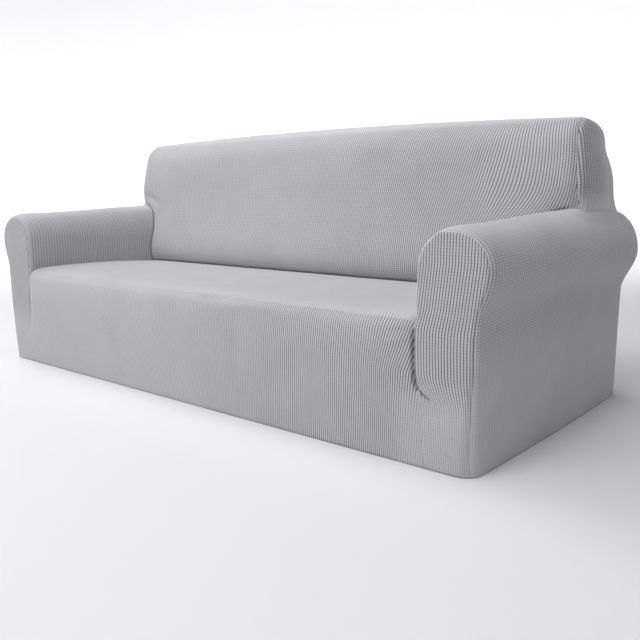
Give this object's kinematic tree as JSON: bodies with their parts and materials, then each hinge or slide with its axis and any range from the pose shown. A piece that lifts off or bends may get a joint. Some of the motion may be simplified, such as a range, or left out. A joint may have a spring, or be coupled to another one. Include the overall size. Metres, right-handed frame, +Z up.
{
  "type": "sofa slipcover",
  "caption": "Fitted stretch-knit cover for a three-seat sofa with rolled arms: hollow, open at the hem, it pulls over back, seat and arms and hides the sofa to the floor.",
  "frame": {"origin": "centre of the cover's footprint, at the level of its hem", "axes": "+X along the sofa's length towards the sitter's left arm, -Y towards the sitter's front, +Z up"},
  "size_m": [2.206, 1.043, 0.91],
  "materials": {
    "checked_knit": "matt light grey stretch knit: fine raised ribs split into small squares by a darker dotted grid, about 10 mm by 8 mm"
  },
  "bodies": {
    "root": {"seat_skirt_and_arm_fronts": "checked_knit", "arm_right": "checked_knit", "arm_left": "checked_knit", "inside_back": "checked_knit", "back_end_right": "checked_knit", "back_end_left": "checked_knit", "outside_back": "checked_knit"}
  },
  "joints": []
}
